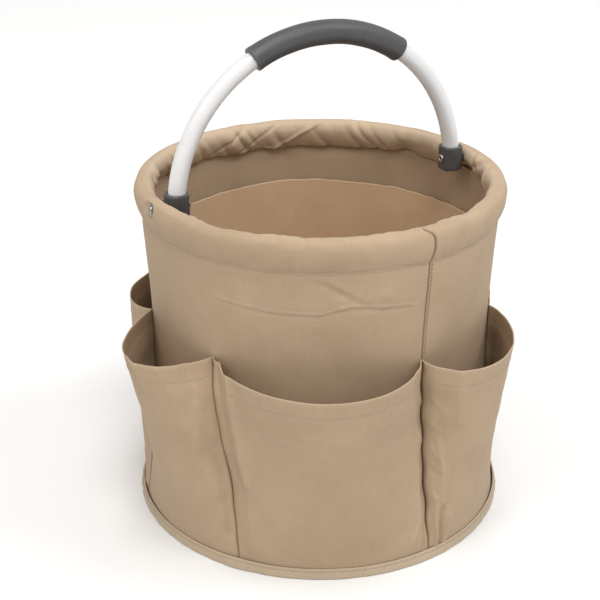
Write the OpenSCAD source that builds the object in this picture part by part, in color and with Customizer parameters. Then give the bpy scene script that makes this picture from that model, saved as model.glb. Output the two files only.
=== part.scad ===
// Tool bucket organizer: a round cloth bucket held open by a hoop in its rim,
// with a ring of open pockets outside and a swinging tube handle.
// Z is up, the origin is the centre of the underside, and X is the handle's pivot line.

/* [Bucket] */
// Height from the floor to the crest of the rim
bucket_h = 285; // [260:1:320]
// Outside diameter of the padded rim
rim_d = 300; // [290:1:310]
// Outside diameter of the wall at its narrowest
waist_d = 281.2; // [276:0.2:284]
// Outside diameter of the wall where it meets the base
foot_d = 302; // [296:1:304]
// Thickness of the coated cloth
cloth_t = 0.9; // [0.8:0.1:1]

/* [Rim] */
// Outside diameter of the hoop's tube
hoop_tube_d = 8.4; // [8:0.1:8.8]
// Wall thickness of the hoop's tube
hoop_wall = 0.9; // [0.7:0.1:1.2]
// Depth of the hem that wraps the hoop
hem_depth = 26; // [24:1:30]

/* [Base] */
// Outside diameter of the binding tape
binding_d = 315; // [314:1:318]
// Height of the binding tape
binding_h = 8.5; // [7:0.5:10]
// Thickness of the stiffening board
board_t = 3; // [2:0.5:4]

/* [Lining] */
// Height of the lining's top edge
lining_top = 228; // [210:1:240]

/* [Pockets] */
// Height of the pockets' top edges at the seams
pocket_top = 177; // [160:1:190]
// How far a top edge dips between its two seams
pocket_dip = 3; // [0:1:6]
// Angle of each stitched seam round the bucket
seam_deg = [-153.5, -85.5, -36.5, 33.5, 92.5, 164.5, 206.5];
// How far round each seam leans by the time it reaches the foot
seam_lean_deg = [11, 3, 0, 0, 0, 3, 11];
// How far each pocket stands off the wall: front, right, back right, back, back left, left
pocket_depth = [43, 38, 20, 32, 20, 45];
// Which way each pocket's belly is pushed: under 1 towards its first seam, over 1 towards its second
pocket_skew = [1.12, 0.66, 2.2, 1, 2.4, 1.4];

/* [Handle] */
// Radius of the tube's centreline
handle_r = 126; // [124:0.5:126]
// Outside diameter of the tube
tube_d = 14; // [13:0.5:14.5]
// Wall thickness of the tube
tube_wall = 1.2; // [0.8:0.1:1.6]
// Outside diameter of the grip
grip_d = 19.4; // [18:0.1:24]
// Arc that the grip covers
grip_deg = 62; // [50:1:70]
// How far round the tube the grip sits from its middle
grip_shift_deg = 3; // [-5:1:5]

/* [End caps] */
// Width of a cap, both ways
cap_w = 18; // [17:0.5:19]
// Height of a cap
cap_h = 20.6; // [18:0.2:24]
// Radius of a cap's upright corners
cap_corner = 3.6; // [2:0.2:4]

/* [Rivets] */
// Diameter of the hole that the rivet passes through
rivet_hole_d = 5; // [4.5:0.1:5.4]
// Diameter of a rolled rivet head
rivet_head_d = 7; // [6.6:0.1:8]
// Diameter of the washer outside the hem
washer_d = 9.2; // [8.8:0.1:10]

/* [Hidden] */
$fn = 96;

cloth_colour = "#b39a82";
lining_colour = "#a88a6e";
dark_colour = "#454447";

gap = 0.1;                                   // space between sheets that lie on each other
nudge = 0.01;                                // overlap that keeps unions solid

// Rim section: a teardrop round the hoop, open at the bottom for the wall's edge
roll_r = 6.9;
roll_at = [rim_d / 2 - roll_r, bucket_h - roll_r];
pivot_z = bucket_h - 6.5;
hoop_at = [roll_at[0] - (roll_r - cloth_t) + hoop_tube_d / 2 + gap / 2, pivot_z];
hoop_face = hoop_at[0] + hoop_tube_d / 2;    // outermost face of the hoop
hem_z = bucket_h - hem_depth;
hem_open = 2.3;                              // opening between the hem's two lower edges
hoop_split_deg = 0.4;
joiner_deg = 14;

// Wall profile
wall_z0 = cloth_t + gap;
wall_top = hem_z + 6;
waist_z = 150;
neck_r = roll_at[0] + 1.9;

function wall_r(z) = z < waist_z
    ? waist_d / 2 + (foot_d - waist_d) / 2 * pow(1 - z / waist_z, 2)
    : waist_d / 2 + (neck_r - waist_d / 2) * pow(min((z - waist_z) / (hem_z - waist_z), 1), 2);

// Base layers
board_z = cloth_t + 2 * gap;
floor_z = board_z + board_t + gap;
lining_z0 = floor_z + cloth_t + gap;
lining_slack = 1.6;                          // how far the lining's top stands off the wall
floor_r = wall_r(floor_z) - cloth_t - 0.5;

function lining_r(z) = wall_r(z) - cloth_t - 0.3 - lining_slack * pow(z / lining_top, 3);

// Pockets
pocket_gap = 0.25;                           // space between a pocket's stitched edge and the wall
pocket_z0 = wall_z0 + 0.4;
lobe_power = 0.8;
pocket_foot_r = binding_d / 2 - 3.1;         // outside of a pocket where the binding holds it
across = 22;                                 // faces across a pocket
up = 9;                                      // faces up a pocket

function belly(u, skew) = pow(max(sin(180 * pow(u, skew)), 0), lobe_power);
function pocket_z(u, v, skew) = pocket_z0 + v * (pocket_top - pocket_z0 - pocket_dip * belly(u, skew));

// Along a seam the pocket follows the wall and flares at the foot; down its middle it runs
// straight from the top of the binding
function pocket_r(u, v, depth, skew) =
    let (snug = pocket_gap + cloth_t, z = pocket_z(u, v, skew), held = binding_h + 1,
         seam = wall_r(z) + snug + (pocket_foot_r - wall_r(pocket_z0) - snug) * pow(1 - v, 5),
         middle = pocket_foot_r + (waist_d / 2 + depth + 1.5 - pocket_foot_r)
                * max(z - held, 0) / (pocket_top - held))
    seam + (middle - seam) * belly(u, skew);

// Handle
arch_z = pivot_z - 5.9;                      // height of the arch's centre
tail_deg = 1.1;                              // how far the tube runs on past the half circle
cap_x = handle_r - 0.6;
cap_floor = 2;
cap_z0 = arch_z - handle_r * sin(tail_deg) - cap_floor;
tube_fit = 0.04;
boss_d = 12;
boss_end = roll_at[0] - roll_r - 0.4;        // how far out a cap's boss reaches

// Rivet
shank_r = rivet_hole_d / 2 - 0.08;
rivet_bore_r = 1.3;
roll_head_r = (rivet_head_d / 2 - rivet_bore_r) / 2;
washer_t = 0.8;
washer_x = hoop_face + cloth_t + gap / 2;
rivet_in = cap_x - cap_w / 2 - 0.3;
rivet_out = washer_x + washer_t + gap / 2;
dimple_floor_r = 5.4;
dimple_mouth_r = 11;

// A sheet of revolution between two radius functions is drawn from a list of [r, z] points
module turned(points) {
    rotate_extrude() polygon(points);
}

// Lays a piece drawn along Z out along +X at the pivot's height
module at_pivot(x) {
    translate([x, 0, pivot_z]) rotate([0, 90, 0]) children();
}

module left_side() {
    mirror([1, 0, 0]) children();
}

module wall_panel() {
    steps = 14;
    z = [for (i = [0 : steps]) wall_z0 + (wall_top - wall_z0) * i / steps];
    color(cloth_colour) turned(concat(
        [for (h = z) [wall_r(h) - cloth_t, h]],
        [for (i = [steps : -1 : 0]) [wall_r(z[i]), z[i]]]));
}

module lining() {
    steps = 12;
    z = [for (i = [0 : steps]) lining_z0 + (lining_top - lining_z0) * i / steps];
    color(lining_colour) turned(concat(
        [for (h = z) [lining_r(h) - cloth_t, h]],
        [for (i = [steps : -1 : 0]) [lining_r(z[i]), z[i]]]));
}

// Outline of the rim roll, taken in by an inset
module rim_outline(inset) {
    r = roll_r - inset;
    low = hem_z - (inset > 0 ? 1 : 0);
    half = hem_open / 2 + cloth_t - inset;
    translate(roll_at) circle(r = r);
    polygon([[roll_at[0] - r, roll_at[1]], [neck_r - 0.7 - half, low],
             [neck_r - 0.7 + half, low], [roll_at[0] + r, roll_at[1]]]);
}

// Cone that the washer presses into the outside of the rim
module rim_dimple(depth) {
    at_pivot(hoop_face + cloth_t - depth)
        cylinder(h = 6, r1 = dimple_floor_r, r2 = dimple_mouth_r);
}

module rim_casing() {
    color(cloth_colour) difference() {
        union() {
            rotate_extrude() difference() {
                rim_outline(0);
                rim_outline(cloth_t);
            }
            for (side = [0, 1]) mirror([side, 0, 0]) intersection() {
                rotate_extrude() rim_outline(nudge);
                rim_dimple(cloth_t);
            }
        }
        for (side = [0, 1]) mirror([side, 0, 0]) {
            rim_dimple(0);
            at_pivot(roll_at[0] - 2 * roll_r) cylinder(h = 4 * roll_r, d = rivet_hole_d);
        }
    }
}

module rim_hoop() {
    color("silver") difference() {
        rotate([0, 0, 90 + hoop_split_deg / 2]) rotate_extrude(angle = 360 - hoop_split_deg)
            translate(hoop_at) difference() {
                circle(d = hoop_tube_d);
                circle(d = hoop_tube_d - 2 * hoop_wall);
            }
        for (side = [0, 1]) mirror([side, 0, 0])
            at_pivot(hoop_at[0] - hoop_tube_d) cylinder(h = 2 * hoop_tube_d, d = rivet_hole_d);
    }
}

module hoop_joiner() {
    color("dimgray") rotate([0, 0, 90 - joiner_deg / 2]) rotate_extrude(angle = joiner_deg)
        translate(hoop_at) circle(d = hoop_tube_d - 2 * hoop_wall - gap);
}

module base_cloth() {
    color(cloth_colour) cylinder(h = cloth_t, r = binding_d / 2 - 2.7);
}

module base_board() {
    color("gray") translate([0, 0, board_z])
        cylinder(h = board_t, r = wall_r(0) - cloth_t - 0.8);
}

module base_lining() {
    color(lining_colour) translate([0, 0, floor_z]) cylinder(h = cloth_t, r = floor_r);
}

module base_binding() {
    tape_t = 2.4;
    color(cloth_colour) rotate_extrude() translate([binding_d / 2 - tape_t, 0]) {
        square([tape_t, binding_h - tape_t / 2]);
        translate([tape_t / 2, binding_h - tape_t / 2]) circle(d = tape_t, $fn = 32);
    }
}

// One pocket: a sheet that leaves the wall at one seam, bellies out and returns at the next.
// Its points run across, then up, first on the outside and then on the inside.
module pocket(index) {
    depth = pocket_depth[index];
    skew = pocket_skew[index];
    seam_room = 0.35;                        // degrees left free beside each seam
    points = [for (inside = [0, 1]) for (j = [0 : up]) for (i = [0 : across])
        let (u = i / across, v = j / up,
             a0 = seam_deg[index] + seam_room + seam_lean_deg[index] * pow(1 - v, 0.9),
             a1 = seam_deg[index + 1] - seam_room + seam_lean_deg[index + 1] * pow(1 - v, 0.9),
             a = a0 + (a1 - a0) * u, r = pocket_r(u, v, depth, skew) - inside * cloth_t)
        [r * cos(a), r * sin(a), pocket_z(u, v, skew)]];
    row = across + 1;
    inner = row * (up + 1);
    quads = concat(
        [for (j = [0 : up - 1]) for (i = [0 : across - 1])
            let (p = j * row + i) [p, p + row, p + row + 1, p + 1]],
        [for (j = [0 : up - 1]) for (i = [0 : across - 1])
            let (p = inner + j * row + i) [p, p + 1, p + row + 1, p + row]],
        [for (i = [0 : across - 1]) [i, i + 1, inner + i + 1, inner + i]],
        [for (i = [0 : across - 1]) let (p = up * row + i) [p + 1, p, inner + p, inner + p + 1]],
        [for (j = [0 : up - 1]) let (p = j * row) [p + row, p, inner + p, inner + p + row]],
        [for (j = [0 : up - 1]) let (p = j * row + across) [p, p + row, inner + p + row, inner + p]]);
    faces = [for (q = quads) for (t = [[q[0], q[1], q[2]], [q[0], q[2], q[3]]]) t];
    color(cloth_colour) polyhedron(points = points, faces = faces);
}

// A bent bar of round section along the handle's arch; angles are from +X, up over the top
module arch_bar(diameter, from_deg, sweep_deg) {
    translate([0, 0, arch_z]) rotate([90, 0, 0]) rotate([0, 0, from_deg])
        rotate_extrude(angle = sweep_deg) translate([handle_r, 0]) circle(d = diameter);
}

module handle_tube() {
    color("white") difference() {
        arch_bar(tube_d, -tail_deg, 180 + 2 * tail_deg);
        arch_bar(tube_d - 2 * tube_wall, -tail_deg - 1, 182 + 2 * tail_deg);
        for (side = [0, 1]) mirror([side, 0, 0])
            at_pivot(handle_r - tube_d) cylinder(h = 2 * tube_d, d = rivet_hole_d);
    }
}

module handle_grip() {
    start = 90 - grip_shift_deg - grip_deg / 2;
    color(dark_colour) difference() {
        arch_bar(grip_d, start, grip_deg);
        arch_bar(tube_d + 2 * tube_fit, start - 1, grip_deg + 2);
    }
}

function rounded_square(w, r, n) = [for (k = [0 : 3]) for (i = [0 : n])
    let (a = 90 * k + 90 * i / n, c = w / 2 - r, q = [[1, 1], [-1, 1], [-1, -1], [1, -1]][k])
    [c * q[0] + r * cos(a), c * q[1] + r * sin(a)]];

module end_cap() {
    color(dark_colour) difference() {
        union() {
            translate([cap_x, 0, cap_z0]) linear_extrude(cap_h)
                polygon(rounded_square(cap_w, cap_corner, 8));
            at_pivot(cap_x) cylinder(h = boss_end - cap_x, d = boss_d);
        }
        arch_bar(tube_d + 2 * tube_fit, -tail_deg, 15);
        at_pivot(cap_x - cap_w) cylinder(h = 2 * cap_w, d = rivet_hole_d);
    }
}

// Half of a rolled rim, standing on its flat side
module rolled_head() {
    rotate_extrude() translate([rivet_bore_r + roll_head_r, 0]) intersection() {
        circle(r = roll_head_r, $fn = 32);
        translate([-roll_head_r, 0]) square([2 * roll_head_r, roll_head_r]);
    }
}

module rivet() {
    shank = rivet_out - rivet_in;
    color("gainsboro") at_pivot(rivet_in) {
        difference() {
            translate([0, 0, -nudge]) cylinder(h = shank + 2 * nudge, r = shank_r);
            translate([0, 0, -1]) cylinder(h = shank + 2, r = rivet_bore_r);
        }
        translate([0, 0, shank]) rolled_head();
        mirror([0, 0, 1]) rolled_head();
    }
}

module washer() {
    color("gainsboro") at_pivot(washer_x) difference() {
        cylinder(h = washer_t, d = washer_d);
        translate([0, 0, -1]) cylinder(h = washer_t + 2, d = rivet_hole_d);
    }
}

wall_panel();
rim_casing();
rim_hoop();
hoop_joiner();
lining();
base_cloth();
base_board();
base_lining();
base_binding();
pocket(0);  // front_pocket
pocket(1);  // right_pocket
pocket(2);  // back_right_pocket
pocket(3);  // back_pocket
pocket(4);  // back_left_pocket
pocket(5);  // left_pocket
handle_tube();
handle_grip();
end_cap();  // right_end_cap
left_side() end_cap();  // left_end_cap
rivet();  // right_rivet
left_side() rivet();  // left_rivet
washer();  // right_washer
left_side() washer();  // left_washer
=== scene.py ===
from math import pi

import bpy
import numpy as np
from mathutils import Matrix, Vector


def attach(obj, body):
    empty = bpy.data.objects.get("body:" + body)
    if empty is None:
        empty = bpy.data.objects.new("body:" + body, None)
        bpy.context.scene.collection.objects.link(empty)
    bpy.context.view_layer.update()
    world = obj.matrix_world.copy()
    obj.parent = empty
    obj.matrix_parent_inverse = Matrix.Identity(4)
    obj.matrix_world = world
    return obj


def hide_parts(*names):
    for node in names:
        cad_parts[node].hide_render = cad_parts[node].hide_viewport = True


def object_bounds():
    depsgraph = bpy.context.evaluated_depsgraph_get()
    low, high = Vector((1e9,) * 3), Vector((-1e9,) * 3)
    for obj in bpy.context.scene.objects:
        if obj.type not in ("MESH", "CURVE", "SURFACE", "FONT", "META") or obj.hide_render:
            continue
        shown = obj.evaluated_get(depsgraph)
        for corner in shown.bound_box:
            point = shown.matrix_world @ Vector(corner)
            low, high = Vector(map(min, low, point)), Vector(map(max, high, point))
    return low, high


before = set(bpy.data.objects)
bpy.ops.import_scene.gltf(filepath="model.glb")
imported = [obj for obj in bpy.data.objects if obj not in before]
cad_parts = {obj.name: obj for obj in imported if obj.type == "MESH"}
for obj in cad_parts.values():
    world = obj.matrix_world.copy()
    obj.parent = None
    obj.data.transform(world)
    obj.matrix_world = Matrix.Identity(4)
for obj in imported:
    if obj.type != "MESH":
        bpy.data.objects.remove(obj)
cadBox = [list(corner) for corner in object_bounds()]
mm = 0.001  # every shape below is worked out in millimetres and degrees
print("frame loaded:", len(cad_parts), "parts")


# camera, lights and floor

studio = {
    "eye": (-0.4789, -0.8820, 0.6384),
    "gaze": (0.4194, 0.8036, -0.4222),
    "lens": 78.64,
    "skyStrength": 0.74,
    "lamps": {
        "front": {"place": (-1.00, -4.20, 7.00), "size": 3.0, "watts": 245.0, "colour": (1.0, 0.99, 0.98)},
        "right": {"place": (4.60, -3.40, 6.40), "size": 3.0, "watts": 170.0, "colour": (0.97, 0.99, 1.0)},
        "left": {"place": (-5.50, -1.60, 5.60), "size": 3.0, "watts": 100.0, "colour": (1.0, 0.92, 0.82)},
        "top": {"place": (-0.30, -0.80, 8.00), "size": 2.0, "watts": 150.0, "colour": (1.0, 0.99, 0.98)},
    },
    "floorSide": 14.0,
    "floorTone": 0.74,
    "floorGap": 0.0002,  # how far the floor lies under the bucket's underside
}


def aim(thing, direction):
    # turns a camera or lamp so that its -Z looks along direction
    thing.rotation_mode = "QUATERNION"
    thing.rotation_quaternion = Vector(direction).to_track_quat("-Z", "Y")


def addLamp(name, facts, target):
    # a round area lamp that faces target
    lamp = bpy.data.lights.new(name, "AREA")
    lamp.shape = "DISK"
    lamp.size = facts["size"]
    lamp.energy = facts["watts"]
    lamp.color = facts["colour"]
    holder = bpy.data.objects.new(name, lamp)
    holder.location = facts["place"]
    aim(holder, Vector(target) - Vector(facts["place"]))
    bpy.context.scene.collection.objects.link(holder)


camera = bpy.data.objects.new("camera", bpy.data.cameras.new("camera"))
camera.location = studio["eye"]
camera.data.lens = studio["lens"]
camera.data.sensor_width = 36.0
camera.data.clip_start = 0.02
camera.data.clip_end = 60.0
aim(camera, studio["gaze"])
bpy.context.scene.collection.objects.link(camera)
bpy.context.scene.camera = camera
bpy.context.scene.view_settings.view_transform = "Standard"

middle = (0.0, 0.0, 0.15)  # the lamps face this point
for word, facts in studio["lamps"].items():
    addLamp(word + "Lamp", facts, middle)
sky = bpy.data.worlds.new("sky")
sky.use_nodes = True
sky.node_tree.nodes["Background"].inputs["Color"].default_value = (1.0, 1.0, 1.0, 1.0)
sky.node_tree.nodes["Background"].inputs["Strength"].default_value = studio["skyStrength"]
bpy.context.scene.world = sky
print("studio ready")


# shader helpers

def tint(red, green, blue):
    # screen colour 0..255 to linear light, with the usual sRGB curve
    screen = np.array([red, green, blue]) / 255.0
    linear = np.where(screen <= 0.04045, screen / 12.92, ((screen + 0.055) / 1.055) ** 2.4)
    return (*[float(part) for part in linear], 1.0)


class Wire:
    # one socket that can be reckoned with: + - and * add Math nodes, either way round

    def __init__(self, recipe, socket):
        self.recipe = recipe
        self.socket = socket

    def reckon(self, operation, *values):
        return self.recipe.node("ShaderNodeMath", {"operation": operation}, dict(enumerate(values)))

    def __add__(self, other):
        return self.reckon("ADD", self, other)

    def __sub__(self, other):
        return self.reckon("SUBTRACT", self, other)

    def __rsub__(self, other):
        return self.reckon("SUBTRACT", other, self)

    def __mul__(self, other):
        return self.reckon("MULTIPLY", self, other)

    __radd__ = __add__
    __rmul__ = __mul__

    def sine(self):
        return self.reckon("SINE", self)

    def size(self):
        return self.reckon("ABSOLUTE", self)

    def between(self, low, high):
        # 0 below low, 1 above high and straight between them
        settings = {"clamp": True}
        sockets = {"Value": self, "From Min": low, "From Max": high}
        return self.recipe.node("ShaderNodeMapRange", settings, sockets)


class Recipe:
    # a material being written: node() makes any node, from its type, settings and sockets

    def __init__(self, name, constants):
        self.material = bpy.data.materials.new(name)
        self.material.use_nodes = True
        self.nodes = self.material.node_tree.nodes
        self.links = self.material.node_tree.links
        self.shader = self.nodes["Principled BSDF"]
        self.plug(self.shader, constants)

    def plug(self, target, sockets):
        for key, value in sockets.items():
            if isinstance(value, Wire):
                self.links.new(value.socket, target.inputs[key])
            else:
                target.inputs[key].default_value = value

    def node(self, kind, settings=None, sockets=None, out=0):
        made = self.nodes.new(kind)
        for key, value in (settings or {}).items():
            setattr(made, key, value)
        self.plug(made, sockets or {})
        return Wire(self, made.outputs[out])

    def place(self):
        return self.node("ShaderNodeTexCoord", out="Object")

    def split(self, vector):
        parts = self.node("ShaderNodeSeparateXYZ", None, {0: vector})
        return [Wire(self, parts.socket.node.outputs[axis]) for axis in range(3)]

    def join(self, x, y, z):
        return self.node("ShaderNodeCombineXYZ", None, {0: x, 1: y, 2: z})

    def noise(self, vector, scale, detail=2.0, rough=0.5):
        sockets = {"Vector": vector, "Scale": scale, "Detail": detail, "Roughness": rough}
        return self.node("ShaderNodeTexNoise", {"noise_dimensions": "3D"}, sockets)

    def mix(self, share, first, second):
        settings = {"data_type": "RGBA", "blend_type": "MIX", "clamp_factor": True}
        return self.node("ShaderNodeMix", settings, {0: share, 6: first, 7: second}, out=2)

    def painted(self, name):
        # a value stored on the mesh's points: rubbed wear with painted light, or painted shade in creases
        return self.node("ShaderNodeAttribute", {"attribute_name": name}, None, out="Fac")

    def finish(self, colour, roughness, height, depth):
        # height is 0..1 and depth is how far 1 stands proud, in metres
        bump = self.node("ShaderNodeBump", None, {"Height": height, "Distance": depth, "Strength": 1.0})
        self.plug(self.shader, {"Base Color": colour, "Roughness": roughness, "Normal": bump})
        return self.material


# materials

def wovenCloth(name, look):
    # crown of the weave is sin(2 pi u / pitch) sin(2 pi v / pitch), and its slubs are noise drawn out
    # along each thread
    r = Recipe(name, {"Sheen Weight": look["sheen"], "Sheen Roughness": 0.45, "Specular IOR Level": 0.32})
    flat = r.node("ShaderNodeUVMap", {"uv_map": "flat"})
    u, v, _ = r.split(flat)
    turns = 2.0 * pi / look["pitch"]
    crown = (u * turns).sine() * (v * turns).sine()
    warp = r.noise(r.join(u * 1500.0, v * 55.0, 0.0), 1.0, 2.0)
    weft = r.noise(r.join(u * 55.0, v * 1500.0, 4.0), 1.0, 2.0)
    broad = r.noise(r.place(), 16.0, 3.0, 0.55)
    crumple = r.noise(r.place(), 130.0, 3.0, 0.6)
    # painted light: this value turns the cloth toward the pale worn colour; it is rubbed wear along edges,
    # and also a painted highlight on the wall's front crease and the rim's crest, and painted light over
    # the whole shaded inside of the rim's hem
    wornAndLit = (r.painted("wearAndPaintedLight") * (0.55 + 0.9 * crumple)).between(0.0, 1.0)
    tone = 0.5 + 0.6 * (warp - 0.5) + 0.45 * (weft - 0.5) + 1.0 * (broad - 0.5) + 0.10 * crown
    body = r.mix(tone.between(0.0, 1.0), look["dark"], look["light"])
    colour = r.mix(wornAndLit * 0.42, body, look["wornAndLit"])
    # painted shade: the crease value darkens the cloth toward the shade colour in the side seam's groove
    # and in the slits beside the pocket seams
    colour = r.mix(r.painted("crease"), colour, look["shade"])
    roughness = look["roughness"] + 0.14 * (broad - 0.5) - 0.08 * wornAndLit
    height = 0.32 + 0.16 * crown + 0.14 * warp + 0.12 * weft + 0.42 * crumple
    return r.finish(colour, roughness, height, look["relief"])


def ribbedTape(name, look):
    # ribs run across the tape: height is |sin(pi u / pitch)|
    r = Recipe(name, {"Sheen Weight": 0.12, "Sheen Roughness": 0.5, "Specular IOR Level": 0.3})
    u, v, _ = r.split(r.node("ShaderNodeUVMap", {"uv_map": "flat"}))
    rib = (u * (pi / look["pitch"])).sine().size()
    thread = r.noise(r.join(u * 300.0, v * 1600.0, 0.0), 1.0, 2.0)
    broad = r.noise(r.place(), 26.0, 3.0)
    tone = 0.5 + 0.6 * (thread - 0.5) + 0.5 * (broad - 0.5) + 0.25 * (rib - 0.6)
    colour = r.mix(tone.between(0.0, 1.0), look["dark"], look["light"])
    colour = r.mix((r.painted("wearAndPaintedLight") * (0.5 + broad)).between(0.0, 1.2) * 0.5, colour, look["wornAndLit"])
    roughness = 0.80 + 0.12 * (broad - 0.5)
    return r.finish(colour, roughness, 0.6 * rib + 0.4 * thread, look["relief"])


def twistedThread(name, look):
    # plies lie slantwise: height is sin of a slanted Object coordinate
    r = Recipe(name, {"Sheen Weight": 0.2, "Specular IOR Level": 0.35})
    x, y, z = r.split(r.place())
    ply = ((x + y + z * 1.7) * (2.0 * pi / 0.0009)).sine() * 0.5 + 0.5
    fuzz = r.noise(r.place(), 900.0, 2.0)
    colour = r.mix((0.5 * ply + 0.5 * fuzz).between(0.2, 0.8), look["dark"], look["light"])
    return r.finish(colour, 0.62 + 0.2 * (fuzz - 0.5), 0.7 * ply + 0.3 * fuzz, 0.00012)


def paintedTube(name, look):
    # satin paint: fine orange peel, soft patches of tone and scuffs drawn out by a stretched noise
    r = Recipe(name, {"Coat Roughness": 0.22, "Specular IOR Level": 0.5})
    peel = r.noise(r.place(), 520.0, 2.0)
    patch = r.noise(r.place(), 34.0, 4.0, 0.6)
    drawnOut = r.node("ShaderNodeMapping", None, {0: r.place(), "Scale": (1.0, 6.0, 1.0)})
    scuff = r.noise(drawnOut, 210.0, 4.0, 0.7)
    scuffed = scuff.between(0.66, 0.80)
    colour = r.mix(patch.between(0.3, 0.7), look["dark"], look["light"])
    colour = r.mix(scuffed * 0.35, colour, look["scuff"])
    r.plug(r.shader, {"Coat Weight": 0.35 - 0.25 * scuffed})
    return r.finish(colour, 0.34 + 0.14 * (patch - 0.5) + 0.2 * scuffed, peel, 0.00005)


def cellFoam(name, look):
    # skin of closed cells: Voronoi distance for the cells, noise for the drag marks along the sleeve
    r = Recipe(name, {"Specular IOR Level": 0.45})
    u, v, _ = r.split(r.node("ShaderNodeUVMap", {"uv_map": "flat"}))
    cells = r.node("ShaderNodeTexVoronoi", {"feature": "F1"}, {"Vector": r.place(), "Scale": 950.0})
    pores = r.noise(r.place(), 1500.0, 2.0)
    drag = r.noise(r.join(u * 24.0, v * 420.0, 0.0), 1.0, 3.0)
    broad = r.noise(r.place(), 60.0, 3.0)
    tone = 0.35 * cells + 0.35 * drag + 0.4 * broad
    colour = r.mix(tone.between(0.2, 0.9), look["dark"], look["light"])
    colour = r.mix((r.painted("wearAndPaintedLight") * (0.4 + broad)).between(0.0, 1.0) * 0.5, colour, look["wornAndLit"])
    roughness = 0.46 + 0.16 * (broad - 0.5) + 0.10 * (drag - 0.5)
    return r.finish(colour, roughness, 0.5 * cells + 0.3 * pores + 0.2 * drag, 0.00009)


def mouldedPlastic(name, look):
    # fine grain over slow flow marks, paler where the edges are rubbed
    r = Recipe(name, {"Specular IOR Level": 0.4})
    grain = r.noise(r.place(), 1400.0, 3.0)
    flow = r.noise(r.place(), 70.0, 3.0)
    colour = r.mix((0.5 * grain + 0.5 * flow).between(0.3, 0.7), look["dark"], look["light"])
    colour = r.mix((r.painted("wearAndPaintedLight") * (0.3 + flow)).between(0.0, 1.0) * 0.6, colour, look["wornAndLit"])
    return r.finish(colour, look["roughness"] + 0.15 * (flow - 0.5), grain, 0.00006)


def drawnMetal(name, look):
    # fine marks run round the part: noise stretched along one Object axis
    r = Recipe(name, {"Metallic": 1.0, "Specular IOR Level": 0.5})
    lie = r.node("ShaderNodeMapping", None, {0: r.place(), "Scale": look["stretch"]})
    marks = r.noise(lie, 800.0, 3.0, 0.6)
    stain = r.noise(r.place(), 45.0, 4.0, 0.6)
    colour = r.mix((0.4 * marks + 0.6 * stain).between(0.3, 0.7), look["dark"], look["light"])
    return r.finish(colour, look["roughness"] + 0.2 * (marks - 0.5) + 0.15 * (stain - 0.5), marks, 0.00004)


def fibreBoard(name, look):
    # long fibres: noise drawn out along x, with specks
    r = Recipe(name, {"Specular IOR Level": 0.25})
    x, y, z = r.split(r.place())
    fibre = r.noise(r.join(x * 260.0, y * 900.0, z * 900.0), 1.0, 4.0, 0.65)
    specks = r.noise(r.place(), 600.0, 3.0)
    colour = r.mix((0.6 * fibre + 0.4 * specks).between(0.25, 0.75), look["dark"], look["light"])
    return r.finish(colour, 0.85 + 0.1 * (fibre - 0.5), 0.6 * fibre + 0.4 * specks, 0.0002)


# the pale colour is for rubbed wear and painted light; the shade colour is for painted shade
tanLook = {
    "dark": tint(153, 132, 106), "light": tint(178, 155, 129), "wornAndLit": tint(198, 179, 155),
    "shade": tint(112, 87, 66), "pitch": 0.0015, "sheen": 0.03, "roughness": 0.80, "relief": 0.00030,
}
# painted light: the lining takes the tan cloth's colours made much lighter, so that it stays bright in the
# shade inside the bucket
litLiningLook = {**tanLook, "dark": tint(188, 159, 128), "light": tint(207, 178, 146), "roughness": 0.84}
clothTan = wovenCloth("tanWeave", tanLook)
litClothLining = wovenCloth("liningWeaveLit", litLiningLook)
tapeTan = ribbedTape("ribbedTape", {
    "dark": tint(155, 138, 114), "light": tint(178, 161, 138), "wornAndLit": tint(194, 180, 158),
    "pitch": 0.0016, "relief": 0.00014,
})
threadTan = twistedThread("tanThread", {"dark": tint(150, 127, 102), "light": tint(186, 164, 139)})
threadDark = twistedThread("darkThread", {"dark": tint(70, 54, 42), "light": tint(118, 94, 74)})
whitePaint = paintedTube("whitePaint", {
    "dark": tint(204, 204, 204), "light": tint(214, 214, 214), "scuff": tint(186, 186, 186),
})
gripFoam = cellFoam("charcoalFoam", {
    "dark": tint(54, 54, 55), "light": tint(78, 78, 79), "wornAndLit": tint(106, 106, 106),
})
capPlastic = mouldedPlastic("capPlastic", {
    "dark": tint(48, 48, 50), "light": tint(66, 66, 67), "wornAndLit": tint(98, 98, 98), "roughness": 0.42,
})
joinerPlastic = mouldedPlastic("joinerPlastic", {
    "dark": tint(60, 60, 62), "light": tint(84, 84, 84), "wornAndLit": tint(110, 110, 110), "roughness": 0.5,
})
rivetMetal = drawnMetal("rivetMetal", {
    "dark": tint(138, 136, 132), "light": tint(196, 194, 190),
    "roughness": 0.28, "stretch": (6.0, 1.0, 1.0),
})
hoopMetal = drawnMetal("hoopMetal", {
    "dark": tint(148, 148, 146), "light": tint(190, 190, 188),
    "roughness": 0.38, "stretch": (1.0, 1.0, 8.0),
})
boardFibre = fibreBoard("boardFibre", {"dark": tint(112, 98, 80), "light": tint(150, 134, 112)})

floorPaper = Recipe("floorPaper", {"Specular IOR Level": 0.1})
paperGrain = floorPaper.noise(floorPaper.place(), 300.0, 3.0)
paperTone = (studio["floorTone"],) * 3 + (1.0,)
floorPaper.finish(paperTone, 0.93 + 0.04 * (paperGrain - 0.5), paperGrain, 0.00002)

carriedOver = {
    "handle_tube": whitePaint, "rim_hoop": hoopMetal, "hoop_joiner": joinerPlastic,
    "base_board": boardFibre, "right_rivet": rivetMetal, "left_rivet": rivetMetal,
    "right_washer": rivetMetal, "left_washer": rivetMetal,
}
for nodeName, finish in carriedOver.items():
    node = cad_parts[nodeName]
    node.data.materials.clear()
    node.data.materials.append(finish)
print("materials ready")


# shape helpers

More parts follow.
